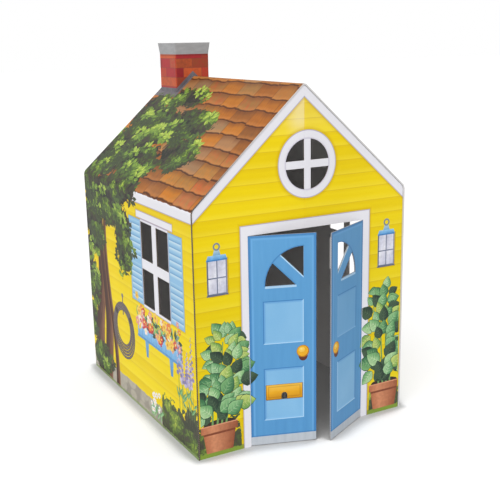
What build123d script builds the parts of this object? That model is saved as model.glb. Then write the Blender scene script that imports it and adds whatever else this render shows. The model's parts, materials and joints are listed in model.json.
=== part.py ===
from build123d import *
import os
from math import atan2, cos, radians, sin, tan

# Cardboard playhouse: a folded roof-and-sides sheet, two gable panels with glue flanges, double doors
# that hang on scored folds, a mail flap and a chimney sleeve. Millimetres, +Z up, front towards -Y.
# The origin is on the floor, in the middle of the whole part with its doors ajar.

# Corrugated card and its fits
card = 5.0
fit_gap = 0.4
cut_gap = 1.5
hinge_gap = 0.4
overrun = 20.0

# House body
width = 914.0
depth = 1106.0
eave_height = 918.0
ridge_height = 1329.0
eave_fold_radius = 30.0
ridge_fold_radius = 14.0

# Gable panels and their flanges
panel_recess = 2.0
flange_depth = 50.0
flange_notch_radius = 28.0
fold_radius = 4.0
score_width = 2.0
score_depth = 0.8

# Doorway and doors, a little to the right of the middle
facade_shift = 12.0
doorway_width = 500.0
doorway_height = 806.0
door_floor_gap = 3.0
left_door_angle = 18.5
right_door_angle = 27.5
fan_radius = 142.0
fan_muntin = 42.0
fan_head_rail = 45.5
fan_stile = 47.0

# Mail flap in the left door
flap_width = 138.0
flap_height = 59.0
flap_sill = 179.0
flap_stile = 58.0
flap_notch_width = 22.0
flap_notch_height = 27.0

# Round window over the doorway
round_window_rise_share = 0.447
round_window_radius = 92.0
round_window_muntin = 28.0

# Four-pane windows in the side walls
side_window_width = 255.0
side_window_height = 334.0
side_window_sill = 472.0
side_window_muntin = 40.0
left_window_from_front = 331.0
right_window_from_front = 376.0

# Chimney sleeve
chimney_width = 160.0
chimney_depth = 172.0
chimney_top = 1466.0
chimney_setback = 26.0
chimney_inner_radius = 1.5
cap_height = 48.0
cap_flare = 6.0
tab_width = 60.0
tab_reach = 30.0
tab_from_front = 55.0

# Worked out from the sizes above
slope = atan2(ridge_height - eave_height, width / 2)
panel_inset = card + fit_gap
leaf_width = doorway_width / 2 - hinge_gap - cut_gap / 2
leaf_height = doorway_height - cut_gap - door_floor_gap
fan_sill = door_floor_gap + leaf_height - fan_head_rail - fan_radius
wider_door_angle = max(left_door_angle, right_door_angle)
door_reach = (hinge_gap + leaf_width) * sin(radians(wider_door_angle)) - panel_recess
front_y = (door_reach - depth) / 2
back_y = front_y + depth
facade_y = front_y + panel_recess
rear_y = back_y - panel_recess
left_hinge_x = facade_shift - doorway_width / 2
right_hinge_x = facade_shift + doorway_width / 2
round_window_height = doorway_height + (ridge_height - doorway_height) * round_window_rise_share
chimney_y = back_y - chimney_setback - chimney_depth / 2
tab_x = chimney_width / 2 - card / 2
tab_y = chimney_y - chimney_depth / 2 + tab_from_front
tab_top = chimney_top - cap_height
tab_foot = ridge_height - (chimney_width / 2) * tan(slope) - card / cos(slope) - tab_reach


def roof_height(x, inset):
    """Height of the roof's face at x, that far inside the outer one."""
    return ridge_height - inset / cos(slope) - abs(x) * tan(slope)


def gable(inset, y, foot=0.0):
    """The house's end outline, inset from the outer faces, as a sketch at y that extrudes towards -Y."""
    half = width / 2 - inset
    eave = roof_height(half, inset)
    ridge = roof_height(0, inset)
    radii = [eave_fold_radius - inset, ridge_fold_radius - inset, eave_fold_radius - inset]
    with BuildSketch(Plane.XZ.offset(-y)) as outline:
        with BuildLine():
            corners = ((-half, foot), (-half, eave), (0, ridge), (half, eave), (half, foot))
            sheet = FilletPolyline(*corners, radius=radii)
            Line(sheet @ 1, sheet @ 0)
        make_face()
    return outline.sketch


def gable_tray(outer_y, inward):
    """A gable panel with flanges folded back along its sides and rakes, notched at the eaves and ridge."""
    open_y = outer_y + inward * (flange_depth + overrun)
    hollow_y = max(open_y, outer_y + inward * card)
    hollow_length = flange_depth + overrun - card
    half = width / 2 - panel_inset
    eave = roof_height(half, panel_inset)
    ridge = roof_height(0, panel_inset)
    with BuildPart() as tray:
        extrude(gable(panel_inset, max(outer_y, outer_y + inward * flange_depth)), amount=flange_depth)
        outer_face = tray.faces().sort_by(Axis.Y, reverse=inward < 0)[0]
        fillet(outer_face.edges().sort_by(Axis.Z)[1:], radius=fold_radius)
        extrude(gable(panel_inset + card, hollow_y, -overrun), amount=hollow_length, mode=Mode.SUBTRACT)
        with BuildSketch(Plane.XZ.offset(-hollow_y)):
            with Locations((-half, eave), (0, ridge), (half, eave)):
                Circle(flange_notch_radius)
        extrude(amount=hollow_length, mode=Mode.SUBTRACT)
    return tray.part


def leaf_plane(hinge_x, side, angle):
    """The outer face of an ajar door leaf: X across the leaf, Y up, Z out of the house."""
    across = Vector(cos(radians(angle)), -side * sin(radians(angle)), 0)
    return Plane(origin=(hinge_x, facade_y, 0), x_dir=across, z_dir=across.cross(Vector(0, 0, 1)))


def door_leaf(plane, side):
    """One door leaf with its fan light. side is 1 for the left leaf and -1 for the right one."""
    leaf_x = side * (hinge_gap + leaf_width / 2)
    fan_x = side * (hinge_gap + leaf_width - fan_stile)
    with BuildPart() as leaf:
        with BuildSketch(plane):
            with Locations((leaf_x, door_floor_gap + leaf_height / 2)):
                Rectangle(leaf_width, leaf_height)
        extrude(amount=-card)
        with BuildSketch(plane):
            with Locations((fan_x, fan_sill)):
                Circle(fan_radius)
            with Locations((fan_x - side * fan_radius / 2, fan_sill + fan_radius / 2)):
                Rectangle(fan_radius, fan_radius, mode=Mode.INTERSECT)
            with Locations((fan_x, fan_sill)):
                Rectangle(fan_radius * 2 + overrun, fan_muntin, rotation=-side * 45, mode=Mode.SUBTRACT)
        extrude(amount=overrun, both=True, mode=Mode.SUBTRACT)
    return leaf.part


# Roof and side walls, folded from one sheet
with BuildPart() as roof_and_sides:
    extrude(gable(0, back_y), amount=depth)
    extrude(gable(card, back_y + overrun, -overrun), amount=depth + overrun * 2, mode=Mode.SUBTRACT)
    for side, from_front in ((-1, left_window_from_front), (1, right_window_from_front)):
        window_middle = (side * width / 2, front_y + from_front, side_window_sill + side_window_height / 2)
        pane_width = (side_window_width - side_window_muntin) / 2
        pane_height = (side_window_height - side_window_muntin) / 2
        with BuildSketch(Plane(origin=window_middle, x_dir=(0, 1, 0), z_dir=(1, 0, 0))):
            with GridLocations(pane_width + side_window_muntin, pane_height + side_window_muntin, 2, 2):
                Rectangle(pane_width, pane_height)
        extrude(amount=overrun, both=True, mode=Mode.SUBTRACT)
    with BuildSketch(Plane.XY.offset(tab_foot)):
        with Locations((-tab_x, tab_y), (tab_x, tab_y)):
            Rectangle(card + fit_gap * 2, tab_width + fit_gap * 2)
    extrude(amount=tab_top - tab_foot, mode=Mode.SUBTRACT)

# Front panel: doorway, round window of four panes, and the score that it packs flat on
with BuildPart() as front_wall:
    add(gable_tray(facade_y, 1))
    with BuildSketch(Plane.XZ.offset(-facade_y)):
        with Locations((facade_shift, doorway_height / 2)):
            Rectangle(doorway_width, doorway_height)
        with Locations((facade_shift, -overrun / 2)):
            Rectangle(doorway_width, overrun)
    extrude(amount=overrun, both=True, mode=Mode.SUBTRACT)
    with BuildSketch(Plane.XZ.offset(-facade_y)):
        with Locations((facade_shift, round_window_height)):
            Circle(round_window_radius)
            Rectangle(round_window_muntin, round_window_radius * 2, mode=Mode.SUBTRACT)
            Rectangle(round_window_radius * 2, round_window_muntin, mode=Mode.SUBTRACT)
    extrude(amount=overrun, both=True, mode=Mode.SUBTRACT)
    score_top = roof_height(0, panel_inset) - ridge_fold_radius
    score_spans = (
        (doorway_height, round_window_height - round_window_radius),
        (round_window_height + round_window_radius, score_top),
    )
    with BuildSketch(Plane.XZ.offset(-facade_y)):
        for low, high in score_spans:
            with Locations((0, (low + high) / 2)):
                Rectangle(score_width, high - low)
    extrude(amount=-score_depth, mode=Mode.SUBTRACT)

# Back panel, plain apart from its score
with BuildPart() as back_wall:
    add(gable_tray(rear_y, -1))
    with BuildSketch(Plane.XZ.offset(-rear_y)):
        with Locations((0, score_top / 2)):
            Rectangle(score_width, score_top)
    extrude(amount=score_depth, mode=Mode.SUBTRACT)

# Door leaves, ajar, and the mail flap in the left one
left_plane = leaf_plane(left_hinge_x, 1, left_door_angle)
right_plane = leaf_plane(right_hinge_x, -1, right_door_angle)
flap_x = hinge_gap + flap_stile + flap_width / 2

with BuildPart() as left_door:
    add(door_leaf(left_plane, 1))
    with BuildSketch(left_plane):
        with Locations((flap_x, flap_sill - cut_gap + (cut_gap + flap_height + hinge_gap) / 2)):
            Rectangle(flap_width + cut_gap * 2, cut_gap + flap_height + hinge_gap)
    extrude(amount=overrun, both=True, mode=Mode.SUBTRACT)

with BuildPart() as right_door:
    add(door_leaf(right_plane, -1))

with BuildPart() as mail_flap:
    with BuildSketch(left_plane):
        with Locations((flap_x, flap_sill + flap_height / 2)):
            Rectangle(flap_width, flap_height)
        with Locations((flap_x, flap_sill)):
            SlotOverall(flap_notch_height * 2, flap_notch_width, rotation=90, mode=Mode.SUBTRACT)
    extrude(amount=-card)

# Chimney sleeve: straight walls, a cap band that flares, a foot cut to the roof and two tabs through it
with BuildPart() as chimney:
    for inset, mode in ((0, Mode.ADD), (card, Mode.SUBTRACT)):
        sleeve_size = (chimney_width - inset * 2, chimney_depth - inset * 2)
        cap_size = (sleeve_size[0] + cap_flare * 2, sleeve_size[1] + cap_flare * 2)
        corner = chimney_inner_radius + card - inset
        with BuildSketch(Plane.XY.offset(tab_foot)):
            with Locations((0, chimney_y)):
                RectangleRounded(*sleeve_size, corner)
        extrude(amount=tab_top - tab_foot, mode=mode)
        with BuildSketch(Plane.XY.offset(tab_top)):
            with Locations((0, chimney_y)):
                RectangleRounded(*sleeve_size, corner)
        with BuildSketch(Plane.XY.offset(chimney_top)):
            with Locations((0, chimney_y)):
                RectangleRounded(*cap_size, corner)
        loft(mode=mode)
    extrude(gable(-fit_gap, back_y + overrun, -overrun), amount=depth, mode=Mode.SUBTRACT)
    with BuildSketch(Plane.XY.offset(tab_foot)):
        with Locations((-tab_x, tab_y), (tab_x, tab_y)):
            Rectangle(card, tab_width)
    extrude(amount=tab_top - tab_foot)

os.makedirs("parts", exist_ok=True)
pieces = {
    "roof_and_sides": roof_and_sides,
    "front_wall": front_wall,
    "back_wall": back_wall,
    "left_door": left_door,
    "right_door": right_door,
    "mail_flap": mail_flap,
    "chimney": chimney,
}
for name, piece in pieces.items():
    piece.part.label = name
    export_step(piece.part, f"parts/{name}.step")
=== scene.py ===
"""Printed cardboard playhouse: the inks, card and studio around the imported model."""
import json
import math
import random

import bmesh
import bpy
from mathutils import Euler, Matrix, Vector
from mathutils.geometry import convex_hull_2d


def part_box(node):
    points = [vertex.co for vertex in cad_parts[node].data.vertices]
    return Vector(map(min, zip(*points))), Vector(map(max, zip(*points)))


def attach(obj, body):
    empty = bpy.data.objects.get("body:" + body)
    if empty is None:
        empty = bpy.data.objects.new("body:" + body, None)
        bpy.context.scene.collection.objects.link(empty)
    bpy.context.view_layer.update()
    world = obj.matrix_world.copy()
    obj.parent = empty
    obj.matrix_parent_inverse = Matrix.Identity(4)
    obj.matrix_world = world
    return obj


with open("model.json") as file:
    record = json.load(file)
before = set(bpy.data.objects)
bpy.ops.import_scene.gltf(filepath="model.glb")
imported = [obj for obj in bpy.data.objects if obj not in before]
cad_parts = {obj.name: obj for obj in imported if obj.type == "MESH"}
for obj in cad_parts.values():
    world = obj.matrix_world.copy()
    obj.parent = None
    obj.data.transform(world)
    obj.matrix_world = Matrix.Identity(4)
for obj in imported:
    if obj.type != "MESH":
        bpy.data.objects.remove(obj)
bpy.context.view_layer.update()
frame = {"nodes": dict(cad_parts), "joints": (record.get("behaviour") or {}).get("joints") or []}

# The house, in metres, as the frame gives it
SHEET_LOW, SHEET_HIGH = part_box("roof_and_sides")
HALF_WIDTH = SHEET_HIGH.x
FRONT_Y = SHEET_LOW.y
BACK_Y = SHEET_HIGH.y
MIDDLE_Y = (FRONT_Y + BACK_Y) / 2
FACADE_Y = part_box("front_wall")[0].y
REAR_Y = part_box("back_wall")[1].y
CHIMNEY_LOW, CHIMNEY_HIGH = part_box("chimney")
JOINTS = {joint["name"]: joint for joint in frame["joints"]}
LEFT_HINGE = Vector(JOINTS["left_door_swing"]["pos_m"])
RIGHT_HINGE = Vector(JOINTS["right_door_swing"]["pos_m"])
LEFT_TURN = math.radians(JOINTS["left_door_swing"]["range_deg"][0])
RIGHT_TURN = -math.radians(JOINTS["right_door_swing"]["range_deg"][0])

# The card, its flutes and its folds
CARD = 0.005
FLUTE = 0.0085
WASHBOARD_DEPTH = 0.000012
GRAIN_DEPTH = 0.00003
SAG_DEPTH = 0.006
EAVE = 0.918
RIDGE = 1.329
SLOPE = math.atan2(RIDGE - EAVE, HALF_WIDTH)
ROOF_LENGTH = HALF_WIDTH / math.cos(SLOPE)
PANEL_INSET = 0.0054
FOLD_ROUND = 0.015
FOLD_TILT = -0.05

# Front features
FACADE_X = (LEFT_HINGE.x + RIGHT_HINGE.x) / 2
DOORWAY_HALF = (RIGHT_HINGE.x - LEFT_HINGE.x) / 2
DOORWAY_TOP = 0.806
TRIM_SIDE = 0.031
TRIM_HEAD = 0.038
BARGE = 0.0325
ROUND_Z = 1.040
ROUND_PANE = 0.092
ROUND_RING = 0.123
GABLE_HEDGE = 0.125

# Door leaves, measured from the hinge
FAN_RADIUS = 0.142
FAN_MIDDLE = 0.2022
FAN_SILL = 0.617
FAN_SILL_HEIGHT = 0.009
FAN_SILL_END = 0.026
DOOR_PANEL_LEFT = 0.051
DOOR_PANEL_RIGHT = 0.202
DOOR_PANELS = ((0.397, 0.561), (0.099, 0.303))
# How far a door's painted top shade fades its panels into the ground.
PANEL_CALM = 32.0
KICK_TOP = 0.036
FLAP_LEFT = 0.0584
FLAP_RIGHT = 0.1964
KNOB_HEIGHT = 0.361
LEFT_KNOB_REACH = 0.1985
RIGHT_KNOB_REACH = 0.212
KNOB_RADIUS = 0.024

# Side windows and what is printed round them
WINDOW_HALF = 0.1275
WINDOW_SILL = 0.472
WINDOW_HEAD = 0.806
CASING_SIDE = 0.004
CASING_FOOT = 0.012
CASING_TOP = 0.010
LEFT_WINDOW_Y = FRONT_Y + 0.331
RIGHT_WINDOW_Y = FRONT_Y + 0.376
LINTEL_HALF = 0.172
LINTEL_LOW = 0.816
LINTEL_HIGH = 0.846
SHUTTER_HALF = 0.061
SHUTTER_GAP = 0.002
SHUTTER_FOOT = 0.466
SHUTTER_TOP = 0.811
SHUTTER_RAIL = 0.009
SHUTTER_RAIL_Z = 0.639
SLAT = 0.0246
FASCIA_LOW = 0.873
FASCIA_HIGH = 0.934
PLINTH_TOP = 0.074
SIDE_HEDGE = 0.15

# Siding, tiles, bricks and flashing
BOARD = 0.054
BOARD_START = 0.014
TILE_ROWS = 9.4
TILE_START = 0.6
TILE_WIDTH = 0.135
BRICK_LENGTH = 0.088
BRICK_HEIGHT = 0.040
CHIMNEY_CAP = 0.048
FLASHING = 0.016

# Each printed shape stands a step above the one it overlaps, and starts a hair inside the card.
# Prints keep a margin from the folds that swing and from the gable panel's rounded edge.
INK_STEP = 0.000015
INK_SINK = 0.00002
SLIVER = 0.00002
PRINT_MARGIN = 0.0017
PANEL_EDGE = 0.0065


def ink(red, green, blue):
    """A printed colour, given as it looks on screen, in linear light."""
    shares = [channel / 255 for channel in (red, green, blue)]
    return tuple(((s + 0.055) / 1.055) ** 2.4 if s > 0.04045 else s / 12.92 for s in shares) + (1.0,)


WHITE_INK = ink(236, 235, 241)
LILAC_LINE = ink(178, 172, 196)
SIDING_SHADE = ink(190, 140, 10)
HEDGE_INK = ink(112, 120, 94)
SHUTTER_BLUE = ink(148, 194, 228)
DOOR_LINE = ink(66, 126, 184)


def feed(socket, value):
    """Gives a socket a number, a colour, or what another socket gives."""
    if isinstance(value, Value):
        socket.id_data.links.new(value.socket, socket)
    else:
        socket.default_value = value


def add_node(tree, kind, *values, **settings):
    """A new node, with values for its first inputs."""
    node = tree.nodes.new(kind)
    for name, setting in settings.items():
        setattr(node, name, setting)
    for socket, value in zip(node.inputs, values):
        feed(socket, value)
    return node


def gives(node):
    """What a node gives, by its sockets' names."""
    return {socket.name: Value(socket) for socket in node.outputs}


class Value:
    """What one socket gives: a number, a vector or a colour. Arithmetic on it adds nodes to its tree."""

    def __init__(self, socket):
        self.socket = socket

    def __add__(self, other):
        return compute("ADD", self, other)

    def __sub__(self, other):
        return compute("SUBTRACT", self, other)

    def __rsub__(self, other):
        return compute("SUBTRACT", other, self)

    def __mul__(self, other):
        return compute("MULTIPLY", self, other)

    def __truediv__(self, other):
        return compute("DIVIDE", self, other)

    def __abs__(self):
        return compute("ABSOLUTE", self)

    __radd__ = __add__
    __rmul__ = __mul__

    def node(self, kind, *values, **settings):
        return add_node(self.socket.id_data, kind, self, *values, **settings)

    def whole(self):
        return compute("FLOOR", self)

    def rest(self):
        return compute("FRACT", self)

    def from_ends(self):
        """How far a share lies from the nearer of 0 and 1."""
        return least(self, 1.0 - self)

    def swing(self, reach):
        """A tone from 0 to 1 as a swing to both sides of 0."""
        return (self - 0.5) * reach

    def rise(self, low, high):
        """0 below low, 1 above high, and a soft step between."""
        return Value(self.node("ShaderNodeMapRange", low, high, interpolation_type="SMOOTHSTEP").outputs[0])

    def fall(self, low, high):
        return 1.0 - self.rise(low, high)

    def band(self, start, full, fade, end):
        """1 from full to fade, and 0 before start and after end."""
        return self.rise(start, full) * self.fall(fade, end)

    def edge(self, soft=0.001):
        """A printed edge: 1 above 0."""
        return self.rise(-soft, soft)

    def ramp(self, *stops):
        """The colour at this value, between stops that are positions with colours."""
        node = self.node("ShaderNodeValToRGB")
        elements = node.color_ramp.elements
        elements[0].position, elements[0].color = stops[0]
        elements[1].position, elements[1].color = stops[-1]
        for position, colour in stops[1:-1]:
            elements.new(position).color = colour
        return Value(node.outputs[0])

    def paint(self, mask, colour, share=1.0):
        """This colour with another laid on it where the mask is, as strongly as the share says."""
        return mix(mask * share, self, colour)

    def brighten(self, factor):
        node = self.node("ShaderNodeVectorMath", operation="SCALE")
        feed(node.inputs["Scale"], factor)
        return Value(node.outputs[0])

    def vectors(self, operation, other):
        return Value(self.node("ShaderNodeVectorMath", other, operation=operation).outputs[0])

    def split(self):
        return [Value(socket) for socket in self.node("ShaderNodeSeparateXYZ").outputs]

    def texture(self, kind, **numbers):
        """A texture at this place. Its other inputs are given by name."""
        node = self.node(kind)
        for name, number in numbers.items():
            node.inputs[name].default_value = number
        return node

    def noise(self, scale, detail=2.0):
        return Value(self.texture("ShaderNodeTexNoise", Scale=scale, Detail=detail).outputs[0])

    def cells(self, scale):
        return gives(self.texture("ShaderNodeTexVoronoi", Scale=scale))


def tree_of(values):
    """The tree of the first value that isn't a plain number or colour."""
    return next(value for value in values if isinstance(value, Value)).socket.id_data


def compute(operation, *values):
    node = add_node(tree_of(values), "ShaderNodeMath", *values, operation=operation)
    return Value(node.outputs[0])


def least(first, *others):
    for other in others:
        first = compute("MINIMUM", first, other)
    return first


def most(first, *others):
    for other in others:
        first = compute("MAXIMUM", first, other)
    return first


def mix(share, first, second):
    """A colour that goes from the first to the second as the share goes from 0 to 1."""
    node = add_node(tree_of((share, first, second)), "ShaderNodeMix", share, data_type="RGBA")
    feed(node.inputs[6], first)
    feed(node.inputs[7], second)
    return Value(node.outputs[2])


def vector(x, y=0.0, z=0.0):
    return Value(x.node("ShaderNodeCombineXYZ", y, z).outputs[0])


def distance(across, up):
    return compute("SQRT", across * across + up * up)


def rectangle(across, up, low_across, high_across, low_up, high_up):
    """How far a point lies inside a rectangle, negative outside."""
    return least(across - low_across, high_across - across, up - low_up, high_up - up)


def hashed(x, y=0.0, z=0.0):
    """A tone by chance, the same for the same numbers."""
    return gives(vector(x, y, z).texture("ShaderNodeTexWhiteNoise"))["Value"]


def streaks(across, up, layer=0.0, scales=(1.0, 1.0), detail=2.0):
    """Noise that is drawn out one way, because across and up have scales of their own."""
    return vector(across * scales[0], up * scales[1], layer).noise(1.0, detail)


def shared(group, **values):
    """A shared node group, with its sockets' values by name."""
    node = add_node(tree_of(values.values()), "ShaderNodeGroup", node_tree=group)
    for name, value in values.items():
        feed(node.inputs[name], value)
    return gives(node)


NUMBER = "NodeSocketFloat"
COLOUR = "NodeSocketColor"
VECTOR = "NodeSocketVector"


def new_group(name, inputs, outputs):
    """A shader group with named sockets: its tree, what comes in and where it goes out."""
    tree = bpy.data.node_groups.new(name, "ShaderNodeTree")
    for sockets, way in ((inputs, "INPUT"), (outputs, "OUTPUT")):
        for label, kind in sockets.items():
            tree.interface.new_socket(label, in_out=way, socket_type=kind)
    return tree, gives(add_node(tree, "NodeGroupInput")), add_node(tree, "NodeGroupOutput").inputs


def card_stock_group():
    """Corrugated card: printed outside, bare liner inside, unprinted flutes at the cut edges darkened with
    painted shade, faint washboard.
    """
    tree, take, give = new_group(
        "card stock",
        {"Print": COLOUR, "Outside": NUMBER, "Edge": NUMBER, "Across": NUMBER, "Up": NUMBER},
        {"Color": COLOUR, "Roughness": NUMBER, "Height": NUMBER},
    )
    place = gives(add_node(tree, "ShaderNodeTexCoord"))["Object"]
    cloud = place.noise(5.0, 3.0)
    grain = place.noise(420.0)
    printed = take["Print"].brighten(0.93 + (cloud * 0.08 + grain * 0.06))
    liner = mix(grain, ink(219, 217, 216), ink(234, 232, 231))
    flute = ((take["Across"] + take["Up"]) * (1 / FLUTE)).rest()
    # Cut edges: the unprinted flutes, darker than bare card as painted shade in their hollows.
    cut_edge_and_shade = mix(abs(flute - 0.5).rise(0.1, 0.36), ink(84, 76, 68), ink(124, 114, 104))
    feed(give["Color"], mix(take["Edge"], mix(take["Outside"], liner, printed), cut_edge_and_shade))
    smooth = take["Outside"] * (1.0 - take["Edge"])
    feed(give["Roughness"], (0.86 + grain * 0.06) - smooth * (0.36 + cloud * 0.1))
    washboard = compute("SINE", take["Across"] * (2 * math.pi / FLUTE)) * WASHBOARD_DEPTH
    sag = place.noise(2.6, 1.0) * SAG_DEPTH
    feed(give["Height"], washboard + sag + grain * GRAIN_DEPTH)
    return tree


def clapboard_group():
    """Lapped yellow boards: each a little different, with a dark line under its lower edge."""
    tree, take, give = new_group(
        "clapboard", {"Along": NUMBER, "Up": NUMBER, "Line": NUMBER}, {"Color": COLOUR},
    )
    rise = (take["Up"] - BOARD_START) * (1 / BOARD)
    board, share = rise.whole(), rise.rest()
    streak = streaks(take["Along"], take["Up"], board, (4.0, 70.0), 3.0)
    tone = hashed(board, 3.0) * 0.55 + streak * 0.45
    face = tone.ramp((0.1, ink(233, 202, 2)), (0.5, ink(243, 214, 4)), (0.9, ink(249, 225, 26)))
    face = face.paint(share.fall(0.06, 0.5), ink(250, 229, 66), 0.35)
    face = face.paint(share.rise(0.72, 1.0), ink(220, 180, 6), 0.2)
    wobble = streaks(take["Along"], board, scales=(9.0, 1.0)) * 0.035
    feed(give["Color"], face.paint(share.fall(wobble, wobble + 0.05), ink(204, 162, 14), take["Line"]))
    return tree


def leafage_group():
    """Painted leaves in clumps, light above and dark between. Field is above 0 where leaves grow."""
    tree, take, give = new_group(
        "leafage", {"Place": VECTOR, "Field": NUMBER, "Light": NUMBER}, {"Color": COLOUR, "Mask": NUMBER},
    )
    warp = gives(take["Place"].texture("ShaderNodeTexNoise", Scale=16.0))["Color"]
    bent = take["Place"].vectors("ADD", warp.brighten(0.035))
    clump = bent.cells(9.5)
    clump_tone = clump["Color"].split()[2]
    leaf_tone = bent.cells(62.0)["Color"].split()[0]
    fleck_tone = take["Place"].cells(120.0)["Color"].split()[1]
    edge = (0.45 - clump["Distance"]) * 0.5 + leaf_tone.swing(0.28)
    feed(give["Mask"], (take["Field"] + edge).rise(0.0, 0.035))
    across, up, _ = bent.vectors("SUBTRACT", clump["Position"]).split()
    light = (0.62 - clump["Distance"]) * 0.9 + (up * 5.0 + across * 2.0) + take["Light"]
    light = light + leaf_tone.swing(0.5) + fleck_tone.swing(0.3) + clump_tone.swing(0.38)
    feed(give["Color"], (light * 0.8 + 0.2).ramp(
        (0.0, ink(38, 42, 34)), (0.14, ink(66, 56, 52)), (0.34, ink(60, 66, 40)), (0.53, ink(74, 94, 40)),
        (0.69, ink(102, 130, 48)), (0.85, ink(142, 168, 58)), (1.0, ink(200, 210, 84)),
    ))
    return tree


def raised_panel_group():
    """A door panel with dark upper and left edges and light lower and right ones. Calm fades it away."""
    numbers = ("Across", "Up", "Calm", "Left", "Right", "Bottom", "Top")
    tree, take, give = new_group(
        "raised panel", {"Ground": COLOUR} | dict.fromkeys(numbers, NUMBER), {"Color": COLOUR},
    )
    ground, across, up, calm = (take[name] for name in ("Ground", "Across", "Up", "Calm"))
    left, right = across - take["Left"], take["Right"] - across
    bottom, top = up - take["Bottom"], take["Top"] - up
    inside = least(left, right, bottom, top)
    glow = streaks(across, up, take["Left"], (7.0, 5.0))
    field = mix(glow, ink(114, 174, 220), ink(146, 196, 232))
    lit = compute("LESS_THAN", least(right, bottom), least(left, top))
    line = mix(lit, ink(62, 124, 184), mix(calm, ink(176, 216, 244), ground))
    slope = mix(lit, ink(92, 154, 210), ink(138, 192, 236))
    field = mix(calm, field.paint(inside.fall(0.004, 0.013), slope, 0.7), ground)
    field = field.paint(inside.fall(0.002, 0.0042), line)
    feed(give["Color"], mix(inside.edge(0.0006), ground, field))
    return tree


CARD_STOCK = card_stock_group()
CLAPBOARD = clapboard_group()
LEAFAGE = leafage_group()
RAISED_PANEL = raised_panel_group()


def new_material(name):
    """An empty node material and its surface shader."""
    material = bpy.data.materials.new(name)
    material.use_nodes = True
    surface = material.node_tree.nodes["Principled BSDF"]
    surface.inputs["Specular IOR Level"].default_value = 0.2
    return surface, material


def finish_card(surface, colour, outside, edge, across, up, bend=0.0):
    """Puts a print on card and connects it to the surface. bend is how far the card leaves its plane."""
    card = shared(CARD_STOCK, Print=colour, Outside=outside, Edge=edge, Across=across, Up=up)
    feed(surface.inputs["Base Color"], card["Color"])
    feed(surface.inputs["Roughness"], card["Roughness"])
    bump = add_node(surface.id_data, "ShaderNodeBump")
    bump.inputs["Distance"].default_value = 1.0
    bump.inputs["Strength"].default_value = 1.0
    feed(bump.inputs["Height"], card["Height"] + bend)
    feed(surface.inputs["Normal"], Value(bump.outputs[0]))


def object_place(surface):
    """Object coordinates and object normal, each split into x, y and z."""
    texture = gives(add_node(surface.id_data, "ShaderNodeTexCoord"))
    return texture["Object"].split(), texture["Normal"].split()


def over_roof(x, z):
    """How far a point lies straight above the roof's outer face, negative below it."""
    return z - (RIDGE - abs(x) * math.tan(SLOPE))


def lay_on(ground, inside, body, shade_reach, shade_share):
    """Lays a body on the yellow ground where inside is above 0, with a soft printed shadow round it."""
    shaded = ground.paint(inside.rise(-shade_reach, 0.0), SIDING_SHADE, shade_share)
    return mix(inside.rise(-0.0008, 0.0004), shaded, body)


def white_trim(ground, inside, shade_reach=0.012):
    """White trim with a lilac outline."""
    body = mix(inside.fall(0.001, 0.0045), WHITE_INK, LILAC_LINE)
    return lay_on(ground, inside, body, shade_reach, 0.4)


def hedge(ground, place, field, light):
    """Painted leaves with the grey of distance in them."""
    leaves = shared(LEAFAGE, Place=place, Field=field, Light=light)
    return mix(leaves["Mask"], ground, mix(0.2, leaves["Color"], HEDGE_INK))


def turf(ground, along, up, layer, foot, ragged, soft, grass, share=1.0):
    """A ragged line of grass at a wall's foot."""
    top = foot + streaks(along, up, layer, (90.0, 20.0)) * ragged
    return ground.paint(up.fall(top - soft, top), grass, share)


def front_trims(colour, off_middle, z):
    """The white trims of the doorway and of the round window."""
    beside = (DOORWAY_HALF + TRIM_SIDE) - abs(off_middle)
    colour = white_trim(colour, least(beside, (DOORWAY_TOP + TRIM_HEAD) - z))
    radius = distance(off_middle, z - ROUND_Z)
    colour = white_trim(colour, ROUND_RING - radius, 0.016)
    lip = radius.band(ROUND_PANE - 0.004, ROUND_PANE, ROUND_PANE, ROUND_PANE + 0.007)
    return colour.paint(lip, LILAC_LINE, 0.5)


def gable_print(name, facing, outer_y, is_front):
    """The yellow gable ends: siding, hedge, barge boards and, at the front, trims and a painted sheen by the
    fold.
    """
    surface, material = new_material(name)
    (x, y, z), (_, ny, _) = object_place(surface)
    off_middle = x - FACADE_X
    colour = shared(CLAPBOARD, Along=x, Up=z, Line=0.5)["Color"]
    # Painted shade: the gable ends are printed darker towards their foot.
    colour = colour.brighten(0.92 + z.rise(0.4, 1.0) * 0.1)
    growth = (GABLE_HEDGE - z) * 5.0
    if is_front:
        growth = growth - abs(off_middle).fall(0.26, 0.30) * 3.0
    colour = hedge(colour, vector(x, z), growth, 0.06)
    colour = turf(colour, x, z, 0.0, foot=0.010, ragged=0.020, soft=0.005, grass=ink(132, 158, 62))
    if is_front:
        # Painted sheen: the front is printed paler towards the apex, most just left of the fold.
        by_fold = x.band(-0.09, -0.02, -0.003, 0.003)
        fold_sheen = z.rise(1.13, 1.20) * (0.07 + by_fold * 0.35)
        colour = colour.paint(fold_sheen, ink(250, 242, 214))
    colour = white_trim(colour, (PANEL_INSET + BARGE) + over_roof(x, z) * math.cos(SLOPE))
    if is_front:
        colour = front_trims(colour, off_middle, z)
    depth = abs(y - outer_y)
    score = abs(x).fall(0.0012, 0.0016) * depth.fall(0.001, 0.0013)
    outside = most((ny * facing).rise(0.02, 0.06), score)
    edge = abs(ny).fall(0.04, 0.08) * depth.fall(CARD + 0.0004, CARD + 0.0008) * (1.0 - score)
    bend = distance(x, FOLD_ROUND) * FOLD_TILT if is_front else 0.0
    finish_card(surface, colour, outside, edge, x, z, bend)
    return material


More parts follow.
